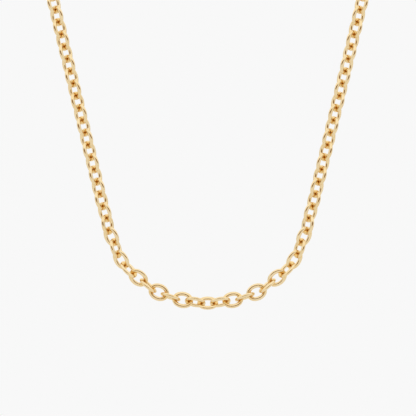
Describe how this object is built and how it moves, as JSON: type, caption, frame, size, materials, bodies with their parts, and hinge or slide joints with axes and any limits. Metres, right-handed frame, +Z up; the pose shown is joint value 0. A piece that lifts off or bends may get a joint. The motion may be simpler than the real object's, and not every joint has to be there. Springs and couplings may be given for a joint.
{
  "type": "link chain necklace",
  "caption": "Worn loop of oval polished links in slightly flattened wire, hanging in a U at the front and closed by a plain barrel clasp at the nape.",
  "frame": {"origin": "middle of the clasp at the nape, where the worn necklace is held up", "axes": "+X to the viewer's right as seen from the front, +Y from the front of the necklace to the nape, +Z up"},
  "size_m": [0.1016, 0.0838, 0.1278],
  "materials": {
    "chain": "polished pale yellow gold plating",
    "clasp": "polished pale yellow gold plating"
  },
  "bodies": {
    "root": {"chain_right": "chain", "chain_left": "chain", "clasp": "clasp"}
  },
  "joints": []
}
